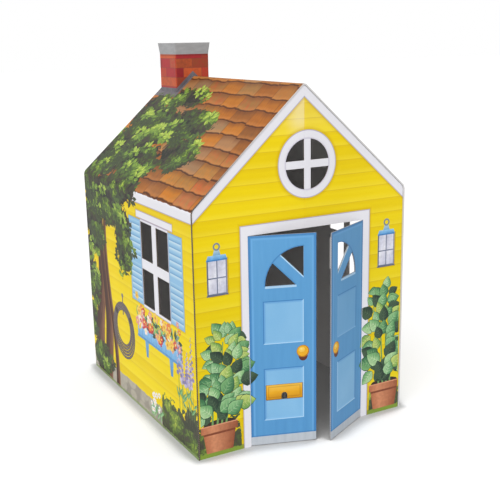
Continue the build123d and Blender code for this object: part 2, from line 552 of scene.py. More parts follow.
def shingles(along, down, side):
    """Rows of painted tiles down the slope: wavy dark butts, chance colours and streaks."""
    def tiles_along(row):
        return along * (1 / TILE_WIDTH) + hashed(row, 7.0) * 0.8

    wave = streaks(along, down, side, (13.0, 9.0)).swing(0.42)
    rise = down * (TILE_ROWS / ROOF_LENGTH) + (wave + TILE_START)
    above = (rise + 0.5).whole() - 1.0
    hanging = tiles_along(above).whole()
    rise = rise + hashed(hanging, above, side + 9.0).swing(0.15)
    row, share = rise.whole(), rise.rest()
    count = tiles_along(row)
    tile, across = count.whole(), count.rest()
    streak = streaks(along * 110.0 + down * 30.0, down, side, (1.0, 16.0), 3.0)
    blotch = vector(along, down, side).noise(28.0, 3.0)
    tone = hashed(tile, row, side) * 0.52 + (streak * 0.3 + blotch * 0.18)
    face = tone.ramp(
        (0.16, ink(124, 82, 50)), (0.30, ink(158, 96, 40)), (0.44, ink(186, 108, 34)),
        (0.56, ink(206, 126, 36)), (0.68, ink(168, 122, 62)), (0.82, ink(206, 96, 48)),
    )
    face = face.paint(hashed(tile, row, side + 5.0).rise(0.5, 0.9), ink(166, 140, 108), 0.55)
    face = face.brighten(0.73 + down.rise(0.0, 0.5) * 0.17)
    face = face.paint(share.fall(0.0, 0.45), ink(104, 56, 28), 0.55)
    face = face.paint(share.band(0.55, 0.85, 0.86, 0.93), ink(222, 146, 80), 0.26)
    face = face.paint(across.from_ends().fall(0.008, 0.03), ink(106, 60, 32), 0.55)
    return face.paint(share.rise(0.85, 0.93), ink(74, 36, 18), 0.92)


def louvred_shutter(ground, beside, z):
    """Light blue louvred shutters. beside is the distance from the shutter's middle line."""
    inside = least(SHUTTER_HALF - abs(beside), z - SHUTTER_FOOT, SHUTTER_TOP - z)
    body = ((z - SHUTTER_FOOT) * (1 / SLAT)).rest().ramp(
        (0.0, ink(98, 150, 198)), (0.14, ink(136, 184, 220)), (0.55, ink(162, 204, 232)),
        (0.86, ink(206, 228, 240)), (1.0, ink(122, 172, 214)),
    )
    for off_rail in (inside, abs(z - SHUTTER_RAIL_Z)):
        body = body.paint(off_rail.fall(SHUTTER_RAIL, SHUTTER_RAIL + 0.0015), SHUTTER_BLUE)
    body = body.paint(inside.fall(0.0012, 0.003), ink(84, 142, 196), 0.7)
    return lay_on(ground, inside, body, 0.012, 0.35)


# The climber's stems: how far behind the house's middle each starts, its sway, turns, phase and girth
STEMS = ((0.432, 0.034, 8.2, 0.4, 0.058), (0.366, 0.030, 7.1, 2.6, 0.050), (0.300, 0.046, 5.3, 4.4, 0.022))
STEM_LEAN = -0.03
STEM_TAPER = 0.45

# Where the climber's leaves gather: along the house from its middle, up the unrolled sheet, and both reaches
LEAF_CLUMPS = (
    (0.46, 0.72, 0.13, 0.16), (0.50, 0.92, 0.10, 0.10), (0.28, 0.84, 0.24, 0.12), (0.44, 1.04, 0.22, 0.16),
    (0.14, 1.04, 0.20, 0.11), (0.26, 1.22, 0.22, 0.14), (0.10, 0.70, 0.10, 0.16), (0.50, 0.42, 0.08, 0.11),
    (0.43, 0.08, 0.13, 0.08), (0.53, 0.57, 0.05, 0.10), (0.53, 0.24, 0.04, 0.10), (0.06, 0.93, 0.11, 0.09),
    (-0.02, 1.27, 0.19, 0.10), (0.44, 1.30, 0.14, 0.12), (0.20, 1.40, 0.17, 0.06), (-0.12, 1.12, 0.16, 0.08),
)


def vine_stems(colour, y, rise):
    """Twisting brown stems of a climber at the rear of each side wall."""
    for start, sway, turns, phase, girth in STEMS:
        wander = compute("SINE", rise * turns + phase) * sway
        off = y - (rise * STEM_LEAN + (MIDDLE_Y + start) + wander)
        half = girth - rise * (girth * STEM_TAPER)
        bark = streaks(off, rise, start, (150.0, 16.0), 3.0)
        tone = bark * 0.6 + (off / half + 1.0) * -0.24
        skin = tone.ramp((0.0, ink(70, 44, 36)), (0.22, ink(122, 82, 62)), (0.46, ink(164, 122, 94)))
        inside = half - abs(off)
        colour = colour.paint(inside.rise(-0.01, 0.0), ink(150, 110, 20), 0.35)
        colour = mix(inside.edge(), colour, skin)
    return colour


def climber_ground(colour, place, y, rise):
    """The painted mass of the climber's leaves."""
    fields = []
    for along, up, half_along, half_up in LEAF_CLUMPS:
        off_along = (y - (MIDDLE_Y + along)) * (1 / half_along)
        fields.append(1.0 - distance(off_along, (rise - up) * (1 / half_up)))
    leaves = shared(LEAFAGE, Place=place, Field=most(*fields), Light=0.0)
    return mix(leaves["Mask"], colour, leaves["Color"])


def stone_plinth(ground, y, z, side):
    """Grey rubble along a side wall's foot."""
    stone = vector(y, z * 1.6, side).cells(13.0)
    rubble = mix(vector(y, z, side).noise(60.0, 3.0), ink(158, 153, 142), ink(196, 190, 176))
    rubble = rubble.paint(stone["Color"].split()[0], ink(190, 182, 166), 0.5)
    rubble = rubble.paint(stone["Distance"].rise(0.5, 0.66), ink(138, 131, 122), 0.6)
    top = PLINTH_TOP + streaks(y, side, scales=(14.0, 1.0)) * 0.02
    return mix(z.fall(top - 0.004, top), ground, rubble)


def side_wall(y, z, rise, side, right):
    """Siding over a plinth, with the fascia, the window's trims and shutters, and the climber's stems."""
    off_window = y - (LEFT_WINDOW_Y + right * (RIGHT_WINDOW_Y - LEFT_WINDOW_Y))
    wall = stone_plinth(shared(CLAPBOARD, Along=y, Up=z, Line=0.36)["Color"], y, z, side)
    wall = white_trim(wall, least(z - FASCIA_LOW, FASCIA_HIGH - z))
    wall = white_trim(wall, rectangle(off_window, z, -LINTEL_HALF, LINTEL_HALF, LINTEL_LOW, LINTEL_HIGH))
    wall = louvred_shutter(wall, abs(off_window) - (WINDOW_HALF + SHUTTER_HALF + SHUTTER_GAP), z)
    half = WINDOW_HALF + CASING_SIDE
    casing = rectangle(off_window, z, -half, half, WINDOW_SILL - CASING_FOOT, WINDOW_HEAD + CASING_TOP)
    return vine_stems(white_trim(wall, casing, 0.004), y, rise)


def lead_sheet(x, y, z):
    """The grey of the flashing round the chimney."""
    return mix(vector(x, y, z).noise(40.0), ink(82, 77, 84), ink(126, 121, 126))


def side_print():
    """The folded sheet: tiled slopes, side walls, and a climber over the rear of both sides."""
    surface, material = new_material("side_and_roof_print")
    surface.inputs["Specular IOR Level"].default_value = 0.12
    (x, y, z), (nx, ny, nz) = object_place(surface)
    side = compute("SIGN", x)
    right = x.rise(-0.01, 0.01)
    rise = least(z, EAVE) + (HALF_WIDTH - abs(x)) * (1 / math.cos(SLOPE))
    tiles = shingles(y, ROOF_LENGTH - (rise - EAVE), side)
    flash = least((CHIMNEY_HIGH.x + FLASHING) - abs(x), y - (CHIMNEY_LOW.y - FLASHING))
    tiles = tiles.paint(flash.edge(), lead_sheet(x, y, z))
    ripple = streaks(y, side, scales=(26.0, 1.0)).swing(0.016)
    on_roof = (rise + ripple).rise(EAVE - 0.004, EAVE - 0.001)
    colour = mix(on_roof, side_wall(y, z, rise, side, right), tiles)
    place = vector(MIDDLE_Y - y, rise, side * 3.0)
    colour = climber_ground(colour, place, y, rise)
    hedge_top = SIDE_HEDGE + ((MIDDLE_Y - 0.30) - y) * 0.15
    growth = (hedge_top - z) * 6.0 - y.rise(MIDDLE_Y - 0.24, MIDDLE_Y - 0.18) * 4.0
    colour = hedge(colour, place, growth, 0.2)
    grass = ink(140, 160, 104)
    colour = turf(colour, y, z, side, foot=0.006, ragged=0.014, soft=0.004, grass=grass, share=0.75)
    outward = nx * x + nz * (z - 0.6)
    # The dark of the cut edges, partly painted shade, is mostly left off above the eave and on the right
    # side.
    pale = most(z.rise(EAVE, EAVE + 0.25), right) * 0.85
    ends = abs(ny).rise(0.6, 0.8) * (1.0 - pale)
    cut = most(ends, abs(nz).rise(0.9, 0.95) * z.fall(EAVE, EAVE + 0.05))
    finish_card(surface, colour, outward.rise(0.0, 0.01), cut, y, rise)
    return material


def brick_print():
    """The chimney: painted bricks in crimson, orange and brown under a grey cap band."""
    surface, material = new_material("chimney_print")
    (x, y, z), (nx, ny, nz) = object_place(surface)
    off_y = y - (CHIMNEY_LOW.y + CHIMNEY_HIGH.y) / 2
    on_side = abs(nx).rise(0.6, 0.8)
    along = on_side * off_y + (1.0 - on_side) * x
    rise = z * (1 / BRICK_HEIGHT)
    row, share = rise.whole(), rise.rest()
    count = along * (1 / BRICK_LENGTH) + (row * 0.5 + on_side * 0.3)
    brick, across = count.whole(), count.rest()
    smear = vector(x, y, z).noise(70.0, 3.0)
    face = (hashed(brick, row, on_side) * 0.8 + smear * 0.2).ramp(
        (0.1, ink(146, 40, 44)), (0.3, ink(176, 46, 50)), (0.5, ink(150, 72, 44)),
        (0.66, ink(206, 92, 48)), (0.82, ink(184, 62, 46)), (0.95, ink(168, 104, 60)),
    )
    gap = least(across.from_ends() * BRICK_LENGTH, share.from_ends() * BRICK_HEIGHT)
    face = face.paint(gap.fall(0.0008, 0.003), ink(120, 62, 56), 0.4)
    cap_grain = streaks(x, y, z * 90.0, (30.0, 30.0), 3.0)
    over_cap = z - (CHIMNEY_HIGH.z - CHIMNEY_CAP)
    face = face.paint(over_cap.edge(), mix(cap_grain, ink(150, 150, 152), ink(182, 182, 184)))
    face = face.paint(over_cap.band(-0.012, -0.001, -0.001, 0.0), ink(70, 30, 30), 0.5)
    face = face.paint(over_roof(x, z).fall(FLASHING, FLASHING + 0.002), lead_sheet(x, y, z))
    outward = nx * x + ny * off_y
    finish_card(surface, face, outward.rise(0.0, 0.01), abs(nz).rise(0.6, 0.8), along, z)
    return material


def door_place(surface, hinge, turn):
    """Coordinates and normal in a door leaf's own frame: x from its hinge, y into the house, z up."""
    texture = gives(add_node(surface.id_data, "ShaderNodeTexCoord"))
    mapping = texture["Object"].node("ShaderNodeMapping", vector_type="TEXTURE")
    mapping.inputs["Location"].default_value = hinge
    mapping.inputs["Rotation"].default_value = (0.0, 0.0, turn)
    turned = texture["Normal"].node("ShaderNodeVectorRotate", rotation_type="Z_AXIS")
    turned.inputs["Angle"].default_value = -turn
    return Value(mapping.outputs[0]).split(), Value(turned.outputs[0]).split()


def fan_light(face, across, z):
    """The painted arch, bars and sill of the fan light."""
    off_fan = across - FAN_MIDDLE
    over_sill = z - FAN_SILL
    radius = distance(off_fan, most(over_sill, 0.0))
    arch = abs(radius - (FAN_RADIUS + 0.0012)).fall(0.0016, 0.0036)
    arch = arch * over_sill.rise(-0.004, 0.0) * off_fan.fall(0.0, 0.004)
    face = face.paint(arch, DOOR_LINE, 0.75)
    on_fan = radius.fall(FAN_RADIUS - 0.004, FAN_RADIUS)
    on_fan = on_fan * over_sill.rise(0.0, 0.004) * off_fan.fall(-0.001, 0.001)
    slant = (off_fan + over_sill) * math.sqrt(0.5)
    face = face.paint(on_fan * slant.band(0.0155, 0.0185, 0.0213, 0.0223), ink(184, 220, 246))
    face = face.paint(on_fan * slant.fall(-0.018, -0.015), DOOR_LINE, 0.6)
    sill = rectangle(off_fan, over_sill, -FAN_RADIUS - 0.001, -FAN_SILL_END, -FAN_SILL_HEIGHT, 0.0)
    return face.paint(sill.rise(0.0, 0.001), ink(182, 218, 244), 0.85)


def door_print(name, hinge, turn, shade, top_shade):
    """A blue panelled door leaf with painted stiles and a pale kick strip. Its last argument is painted shade
    that darkens the leaf's upper part and fades its panels, the upper one most, into the ground.
    """
    surface, material = new_material(name)
    (x, _, z), (_, ny, _) = door_place(surface, hinge, turn)
    across = abs(x)
    # shade picks only a layer of the brush streaks, not a shade.
    brush = streaks(across, z, shade, (60.0, 5.0), 3.0)
    tone = brush * 0.5 + z * 0.35
    face = tone.ramp((0.1, ink(84, 147, 200)), (0.5, ink(95, 159, 210)), (0.9, ink(108, 170, 218)))
    rim = least(across, DOORWAY_HALF - across, DOORWAY_TOP - z)
    face = face.paint(rim.band(0.009, 0.012, 0.014, 0.02), ink(116, 178, 230), 0.55)
    face = face.paint(rim.fall(0.006, 0.012), ink(62, 122, 182), 0.7)
    face = fan_light(face, across, z)
    # The painted top shade also fades the panels into the ground, the upper one most.
    for bottom, top in DOOR_PANELS:
        face = shared(
            RAISED_PANEL, Ground=face, Across=across, Up=z, Calm=top_shade * PANEL_CALM * bottom ** 2,
            Left=DOOR_PANEL_LEFT, Right=DOOR_PANEL_RIGHT, Bottom=bottom, Top=top,
        )["Color"]
    over_kick = z - KICK_TOP
    face = face.paint(over_kick.fall(-0.0005, 0.0005), mix(brush, ink(174, 182, 190), ink(202, 207, 214)))
    face = face.paint(over_kick.band(-0.0005, 0.0005, 0.003, 0.007), ink(60, 118, 176), 0.6)
    # Painted shade: the leaf is darker towards its top.
    face = face.brighten(1.0 - z.rise(0.1, 0.75) * top_shade)
    finish_card(surface, face, ny.fall(-0.2, 0.2), abs(ny).fall(0.3, 0.5) * 0.5, x, z)
    return material


def flap_print(hinge, turn):
    """The gold letter plate, darker round its rim."""
    surface, material = new_material("letter_plate_print")
    (x, _, z), (_, ny, _) = door_place(surface, hinge, turn)
    low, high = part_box("mail_flap")
    inside = rectangle(x, z, FLAP_LEFT, FLAP_RIGHT, low.z, high.z)
    shine = streaks(x, z, scales=(14.0, 40.0)) * 0.4 + (z - low.z) * 10.0
    face = shine.ramp((0.1, ink(196, 132, 22)), (0.5, ink(232, 170, 36)), (0.9, ink(246, 204, 92)))
    face = face.paint(inside.band(0.006, 0.008, 0.010, 0.012), ink(160, 100, 22), 0.4)
    face = face.paint(inside.fall(0.001, 0.003), ink(140, 84, 22), 0.6)
    finish_card(surface, face, ny.fall(-0.2, 0.2), abs(ny).fall(0.3, 0.5), x, z)
    return material


def dress(node, material):
    """Gives a CAD node its printed card."""
    mesh = frame["nodes"][node].data
    mesh.materials.clear()
    mesh.materials.append(material)


dress("front_wall", gable_print("front_print", -1.0, FACADE_Y, is_front=True))
dress("back_wall", gable_print("back_print", 1.0, REAR_Y, is_front=False))
dress("roof_and_sides", side_print())
dress("chimney", brick_print())
dress("left_door", door_print("left_door_print", LEFT_HINGE, LEFT_TURN, shade=1.0, top_shade=0.0))
# The right leaf has painted shade towards its top.
dress("right_door", door_print("right_door_print", RIGHT_HINGE, RIGHT_TURN, shade=2.0, top_shade=0.115))
dress("mail_flap", flap_print(LEFT_HINGE, LEFT_TURN))


def printed_ink():
    """Ink in the colours that each shape carries, with a painter's mottling, on the same card."""
    surface, material = new_material("printed_ink")
    (x, y, z), _ = object_place(surface)
    painted = gives(add_node(surface.id_data, "ShaderNodeAttribute", attribute_name="ink"))["Color"]
    painted = painted.brighten(0.72 + vector(x, y, z).noise(75.0, 3.0) * 0.56)
    finish_card(surface, painted, 1.0, 0.0, x + y, z)
    return material


PRINTED_INK = printed_ink()


def hulls_cross(first, second):
    """Whether two convex outlines overlap: no side of either has the whole of the other beyond it."""
    for hull, other in ((first, second), (second, first)):
        for start, end in zip(hull, hull[1:] + hull[:1]):
            out_across, out_up = end[1] - start[1], start[0] - end[0]
            if all((p[0] - start[0]) * out_across + (p[1] - start[1]) * out_up >= 0 for p in other):
                return False
    return True


def snapped(spot):
    """A corner to the nearest micron, so that cells which meet there share it."""
    return round(spot[0], 6), round(spot[1], 6)


def oval_outline(across, up, half_across, half_up, count):
    steps = [2 * math.pi * step / count for step in range(count)]
    return [(across + half_across * math.cos(step), up + half_up * math.sin(step)) for step in steps]


class PrintSheet:
    """Shapes printed on one panel. Each is a thin closed plate that lies a step above those it overlaps.

    wrap turns a place across and up the panel into a point on the card and the direction out of it.
    A shape has one colour, or a list with a colour for each corner from the lower left on.
    """

    def __init__(self, name, body, slot, wrap):
        self.name = name
        self.body = body
        self.slot = slot
        self.wrap = wrap
        self.laid = []
        self.bm = bmesh.new()
        self.out = self.bm.verts.layers.float_vector.new("out")
        self.ink = self.bm.loops.layers.float_color.new("ink")

    def plate(self, *cells):
        """One plate of cells that share corners. A cell is an outline and its colour or colours."""
        points = list(dict.fromkeys(snapped(spot) for outline, _ in cells for spot in outline))
        hull = [points[corner] for corner in convex_hull_2d(points)]
        (left, right), (low, high) = ((min(places), max(places)) for places in zip(*hull))
        layer = 1
        for other_left, other_right, other_low, other_high, other_layer, other_hull in reversed(self.laid):
            apart = other_left >= right or other_right <= left or other_low >= high or other_high <= low
            if not apart and other_layer >= layer and hulls_cross(hull, other_hull):
                layer = other_layer + 1
        self.laid.append((left, right, low, high, layer, hull))
        corners = {}
        for outline, colours in cells:
            if not isinstance(colours[0], tuple):
                colours = [colours] * len(outline)
            for spot in outline:
                if snapped(spot) not in corners:
                    point, out = self.wrap(*spot)
                    corner = corners[snapped(spot)] = self.bm.verts.new(point - out * INK_SINK)
                    corner[self.out] = out * (INK_SINK + layer * INK_STEP)
            face = self.bm.faces.new([corners[snapped(spot)] for spot in outline])
            for loop, colour in zip(face.loops, colours):
                loop[self.ink] = colour

    def taper(self, foot, foot_half, low, head, head_half, high, colours):
        """A four-sided shape from a foot to a head, each with its middle, half width and height."""
        feet = [(foot - foot_half, low), (foot + foot_half, low)]
        self.plate((feet + [(head + head_half, high), (head - head_half, high)], colours))

    def box(self, middle, half, low, high, colours):
        self.taper(middle, half, low, middle, half, high, colours)

    def oval(self, across, up, half_across, half_up, colour, count):
        self.plate((oval_outline(across, up, half_across, half_up, count), colour))

    def ring(self, across, up, inner, outer, colour, count):
        """A flat ring as a loop of quads."""
        inside = oval_outline(across, up, inner, inner, count)
        outside = oval_outline(across, up, outer, outer, count)
        cells = []
        for step in range(count):
            cells.append(([inside[step - 1], outside[step - 1], outside[step], inside[step]], colour))
        self.plate(*cells)

    def trim(self, across, outward, step=0.01, up=0.5):
        """Cuts the shapes at a line up the panel. outward is 1 to drop what lies further across, or -1."""
        point, _ = self.wrap(across, up)
        beyond, _ = self.wrap(across + outward * step, up)
        parts = self.bm.verts[:] + self.bm.edges[:] + self.bm.faces[:]
        away = (beyond - point).normalized()
        bmesh.ops.bisect_plane(self.bm, geom=parts, plane_co=point, plane_no=away, clear_outer=True)
        bmesh.ops.dissolve_degenerate(self.bm, dist=SLIVER, edges=self.bm.edges[:])

    def finish(self):
        """Raises every shape to its own thickness and makes the piece."""
        grown = bmesh.ops.extrude_face_region(self.bm, geom=self.bm.faces[:])
        for part in grown["geom"]:
            if isinstance(part, bmesh.types.BMVert):
                part.co += part[self.out]
        self.bm.verts.layers.float_vector.remove(self.out)
        bmesh.ops.recalc_face_normals(self.bm, faces=self.bm.faces[:])
        mesh = bpy.data.meshes.new(self.name)
        self.bm.to_mesh(mesh)
        self.bm.free()
        mesh.materials.append(PRINTED_INK)
        piece = bpy.data.objects.new(self.name, mesh)
        bpy.context.scene.collection.objects.link(piece)
        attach(piece, self.body)


# A leaf's outline: shares of its length, and of its width to either side
LEAF_STATIONS = ((0.0, 0.0), (0.1, 0.27), (0.3, 0.49), (0.52, 0.47), (0.78, 0.27), (1.0, 0.0))
SMALL_LEAF_STATIONS = ((0.0, 0.0), (0.35, 0.5), (0.72, 0.34), (1.0, 0.0))
RIM_LENGTH = 1.05
RIM_WIDTH = 1.1
SMALL_LEAF_WIDTH = 0.5

# The midrib and the side veins: where each starts and ends along the leaf, and how far aside it ends
VEINS = [(0.02, 0.93, 0.0)] + [
    (start, start + 0.17, hand * 0.36 * reach)
    for start, reach in ((0.2, 0.95), (0.38, 0.95), (0.56, 0.75)) for hand in (1, -1)
]
VEIN_HALF = 0.0011
PETAL_REACHES = (0.66, 0.96, 1.0, 0.96)

# Midrib, light edge, dark edge and veins of the leaves in the pots and the planter
LEAF_TONES = (
    (ink(134, 184, 130), ink(170, 208, 158), ink(92, 148, 98), ink(196, 222, 178)),
    (ink(112, 168, 112), ink(150, 196, 138), ink(74, 128, 84), ink(176, 210, 160)),
    (ink(146, 194, 134), ink(184, 216, 162), ink(106, 160, 104), ink(208, 228, 184)),
    (ink(92, 146, 96), ink(128, 178, 118), ink(62, 112, 76), ink(152, 194, 140)),
    (ink(160, 190, 96), ink(198, 212, 120), ink(112, 156, 84), ink(214, 224, 150)),
)
LEAF_RIM = ink(50, 84, 60)
LEAF_UNDER = (ink(58, 80, 62), ink(74, 96, 74), ink(44, 58, 50), ink(88, 110, 84))


def leaf_spot(base, angle, along, aside):
    """A place on a leaf: along its midrib and to the left of it. The angle is from straight up, clockwise."""
    return (
        base[0] + math.sin(angle) * along - math.cos(angle) * aside,
        base[1] + math.cos(angle) * along + math.sin(angle) * aside,
    )


def leaf_cells(base, angle, length, width, inks, stations=SMALL_LEAF_STATIONS, rim=None):
    """A pointed leaf shaded from its midrib to a lighter and a darker edge, with a rim if it has a colour."""
    def spot(along, aside):
        return leaf_spot(base, angle, along * length, aside * width)

    rib, *edges = inks
    cells = []
    for hand, edge in zip((1, -1), edges):
        for ends in zip(stations, stations[1:]):
            low, high = ends[0][0], ends[1][0]
            sides = [spot(along, hand * half) for along, half in ends if half]
            outline = [spot(low, 0.0), *sides, spot(high, 0.0)]
            cells.append((outline, [rib] + [edge] * len(sides) + [rib]))
            if rim:
                inner = [spot(along, hand * half) for along, half in ends]
                margin = (RIM_LENGTH - 1) / 2
                outer = [spot(along * RIM_LENGTH - margin, hand * half * RIM_WIDTH) for along, half in ends]
                cells.append(([inner[0], outer[0], outer[1], inner[1]], rim))
    return cells


def broad_leaf(sheet, base, angle, length, width, inks):
    """A broad leaf with a dark rim, a pale midrib and side veins."""
    *leaf_inks, vein = inks
    start = leaf_spot(base, angle, length * (RIM_LENGTH - 1) / 2, 0.0)
    sheet.plate(*leaf_cells(start, angle, length, width, leaf_inks, LEAF_STATIONS, LEAF_RIM))
    veins = []
    for from_along, to_along, to_aside in VEINS:
        foot = leaf_spot(start, angle, from_along * length, 0.0)
        head = leaf_spot(start, angle, to_along * length, to_aside * width)
        side = Vector((head[1] - foot[1], foot[0] - head[0])).normalized() * VEIN_HALF
        feet = [(foot[0] + hand * side.x, foot[1] + hand * side.y) for hand in (1, -1)]
        veins.append(([feet[0], head, feet[1]], vein))
    sheet.plate(*veins)


def blossom(sheet, across, up, radius, turn, petals, colour, heart_share, heart):
    """A round flower with notched petals and a heart."""
    count = petals * len(PETAL_REACHES)
    outline = []
    for step in range(count):
        angle = turn + 2 * math.pi * step / count
        reach = radius * PETAL_REACHES[step % len(PETAL_REACHES)]
        outline.append((across + reach * math.cos(angle), up + reach * math.sin(angle)))
    sheet.plate((outline, colour))
    sheet.oval(across, up, radius * heart_share, radius * heart_share, heart, 8)


def front_place(across, up):
    """Places on the front wall."""
    return Vector((across, FACADE_Y, up)), Vector((0.0, -1.0, 0.0))


def sheet_place(side):
    """Places on one side of the folded sheet (-1 left, 1 right): across is y, up runs over the eave."""
    def place(across, up):
        if up < EAVE:
            return Vector((side * HALF_WIDTH, across, up)), Vector((side, 0.0, 0.0))
        climb = up - EAVE
        inward, upward = climb * math.cos(SLOPE), climb * math.sin(SLOPE)
        point = Vector((side * (HALF_WIDTH - inward), across, EAVE + upward))
        return point, Vector((side * math.sin(SLOPE), 0.0, math.cos(SLOPE)))
    return place


def door_board_place(hinge, turn):
    """Places on a door, measured across the front as if it were shut."""
    swing = Matrix.Rotation(turn, 3, "Z")

    def place(across, up):
        along = swing @ Vector((across - hinge.x, 0.0, 0.0))
        point = Vector((hinge.x, hinge.y, 0.0)) + along + Vector((0.0, 0.0, up))
        return point, swing @ Vector((0.0, -1.0, 0.0))
    return place


LANTERN_HALF = 0.040
LANTERN_FOOT = 0.610
LANTERN_HEAD = 0.742
LANTERN_PANES = ((0.616, 0.6698), (0.6742, 0.734))
PANE_OFF = 0.01835
PANE_HALF = 0.01615


def lantern(sheet, across):
    """A wall lantern: blue cap, grey frame and four pale panes."""
    frame_ink, frame_dark = ink(134, 140, 164), ink(96, 106, 128)
    bright, plain, dim = ink(236, 236, 243), ink(216, 216, 230), ink(196, 198, 216)
    blue, pale_blue = ink(92, 158, 216), ink(150, 200, 236)
    neck, pale_neck = ink(122, 170, 206), ink(180, 206, 216)
    sheet.box(across + 0.006, LANTERN_HALF, LANTERN_FOOT - 0.006, LANTERN_HEAD, ink(214, 176, 12))
    frame_inks = [frame_dark, frame_ink, frame_ink, frame_dark]
    pane_inks = ([plain, dim, plain, bright], [plain, bright, plain, dim])
    sheet.box(across, LANTERN_HALF, LANTERN_FOOT, LANTERN_HEAD, frame_inks)
    for hand in (-1, 1):
        for (low, high), inks in zip(LANTERN_PANES, pane_inks):
            sheet.box(across + hand * PANE_OFF, PANE_HALF, low, high, inks)
    for off in (0.0094, 0.0174, 0.0254):
        sheet.box(across + off, 0.0009, 0.618, 0.655, dim)
    sheet.box(across, LANTERN_HALF + 0.003, LANTERN_FOOT - 0.003, LANTERN_FOOT + 0.002, frame_dark)
    sheet.taper(across, LANTERN_HALF, 0.738, across, 0.035, 0.754, [blue, blue, pale_blue, pale_blue])
    sheet.box(across, LANTERN_HALF + 0.001, 0.734, 0.739, ink(74, 134, 194))
    sheet.taper(across, 0.015, 0.754, across, 0.010, 0.772, [neck, neck, pale_neck, pale_neck])
    sheet.ring(across, 0.784, 0.008, 0.0145, ink(132, 142, 150), 16)


# The pots, from the floor up, and the plants in them
POT_FOOT, POT_SHOULDER, POT_TOP = 0.016, 0.094, 0.124
POT_FOOT_HALF, POT_BODY_HALF, POT_RIM_HALF = 0.054, 0.066, 0.075
STEM_SIDES = (-0.9, 0.5, -0.3, 0.95, 0.1)
LEFT_POT = {
    "pot": -0.369, "middle": -0.332, "top": 0.530, "reach": 0.122, "seed": 11, "count": 58, "dark_every": 7,
}
RIGHT_POT = {
    "pot": 0.377, "middle": 0.360, "top": 0.572, "reach": 0.100, "seed": 23, "count": 50, "dark_every": 4,
}


def terracotta_pot(sheet, pot):
    """A tapered pot with a rim, lit from the left."""
    edge, lit, deep = ink(184, 112, 78), ink(212, 142, 104), ink(150, 84, 56)
    body = (POT_FOOT_HALF, POT_FOOT, POT_BODY_HALF, POT_SHOULDER)
    rim = (POT_RIM_HALF, POT_SHOULDER, POT_RIM_HALF, POT_TOP)
    for left, right, first, last in ((-1.0, -0.4, edge, lit), (-0.4, 1.0, lit, deep)):
        for foot_half, foot, head_half, head in (body, rim):
            outline = [
                (pot + left * foot_half, foot), (pot + right * foot_half, foot),
                (pot + right * head_half, head), (pot + left * head_half, head),
            ]
            sheet.plate((outline, [first, last, last, first]))
    sheet.box(pot, POT_BODY_HALF, POT_SHOULDER - 0.008, POT_SHOULDER, ink(130, 72, 50))
    sheet.box(pot, POT_RIM_HALF, POT_TOP - 0.004, POT_TOP, ink(224, 156, 120))


def pot_plant(sheet, pot, middle, top, reach, seed, count, dark_every):
    """A terracotta pot with a bushy plant of broad leaves that droop outwards."""
    chance = random.Random(seed)
    sheet.oval(pot, POT_TOP + 0.002, POT_BODY_HALF, 0.016, ink(58, 46, 38), 14)
    for lean in (-0.7, -0.2, 0.25, 0.7):
        foot, head = pot + lean * 0.04, middle + lean * reach * 0.6
        sheet.taper(foot, 0.004, POT_TOP, head, 0.002, top * 0.82, ink(116, 156, 92))
    for _ in range(12):
        base = (pot + chance.uniform(-0.05, 0.05), chance.uniform(0.13, 0.22))
        broad_leaf(sheet, base, math.radians(chance.uniform(-95.0, 95.0)), 0.06, 0.042, LEAF_UNDER)
    for step in range(count):
        share = step / (count - 1)
        up = top - 0.062 - (top - 0.212) * share
        spread = reach * (0.30 + 0.70 * math.sin(math.pi * (0.1 + 0.52 * share)))
        stem_side = STEM_SIDES[step % len(STEM_SIDES)]
        off = stem_side * spread * 0.56 + chance.uniform(-0.012, 0.012)
        droop = math.copysign(24.0, stem_side) * share
        heading = stem_side * 85.0 + chance.uniform(-38.0, 38.0) + droop
        length = chance.uniform(0.052, 0.074) * (0.82 + 0.25 * share)
        width = length * chance.uniform(0.66, 0.82)
        base = (middle + (pot - middle) * share * share + off, up + chance.uniform(-0.014, 0.014))
        inks = LEAF_UNDER if step % dark_every == 3 else chance.choice(LEAF_TONES)
        broad_leaf(sheet, base, math.radians(heading), length, width, inks)
    terracotta_pot(sheet, pot)


def front_prints():
    """Lanterns and potted plants on the wall beside the doorway."""
    for name, lamp, plant, hinge, hand in (
        ("front_left_prints", -0.362, LEFT_POT, LEFT_HINGE, 1),
        ("front_right_prints", 0.374, RIGHT_POT, RIGHT_HINGE, -1),
    ):
        sheet = PrintSheet(name, "house", "gable_card", front_place)
        lantern(sheet, lamp)
        pot_plant(sheet, **plant)
        sheet.trim(hinge.x - hand * PRINT_MARGIN, hand)
        sheet.trim(hand * (PANEL_EDGE + PANEL_INSET - HALF_WIDTH), -hand)
        sheet.finish()


BOX_HALF = 0.2085
BOX_FOOT = 0.320
BOX_TOP = 0.392
BOX_PLANKS = 9
BRACKET_REACH = 0.118
BRACKET_FOOT = 0.252
PLANTER_LEAVES = LEAF_TONES + (LEAF_UNDER,) * 4
YELLOW_BLOOM = ink(244, 206, 92)
BLOOM_INKS = (
    ink(230, 132, 62), ink(202, 50, 56), YELLOW_BLOOM, ink(232, 164, 116), ink(246, 230, 222),
    ink(214, 88, 66), ink(226, 150, 150),
)


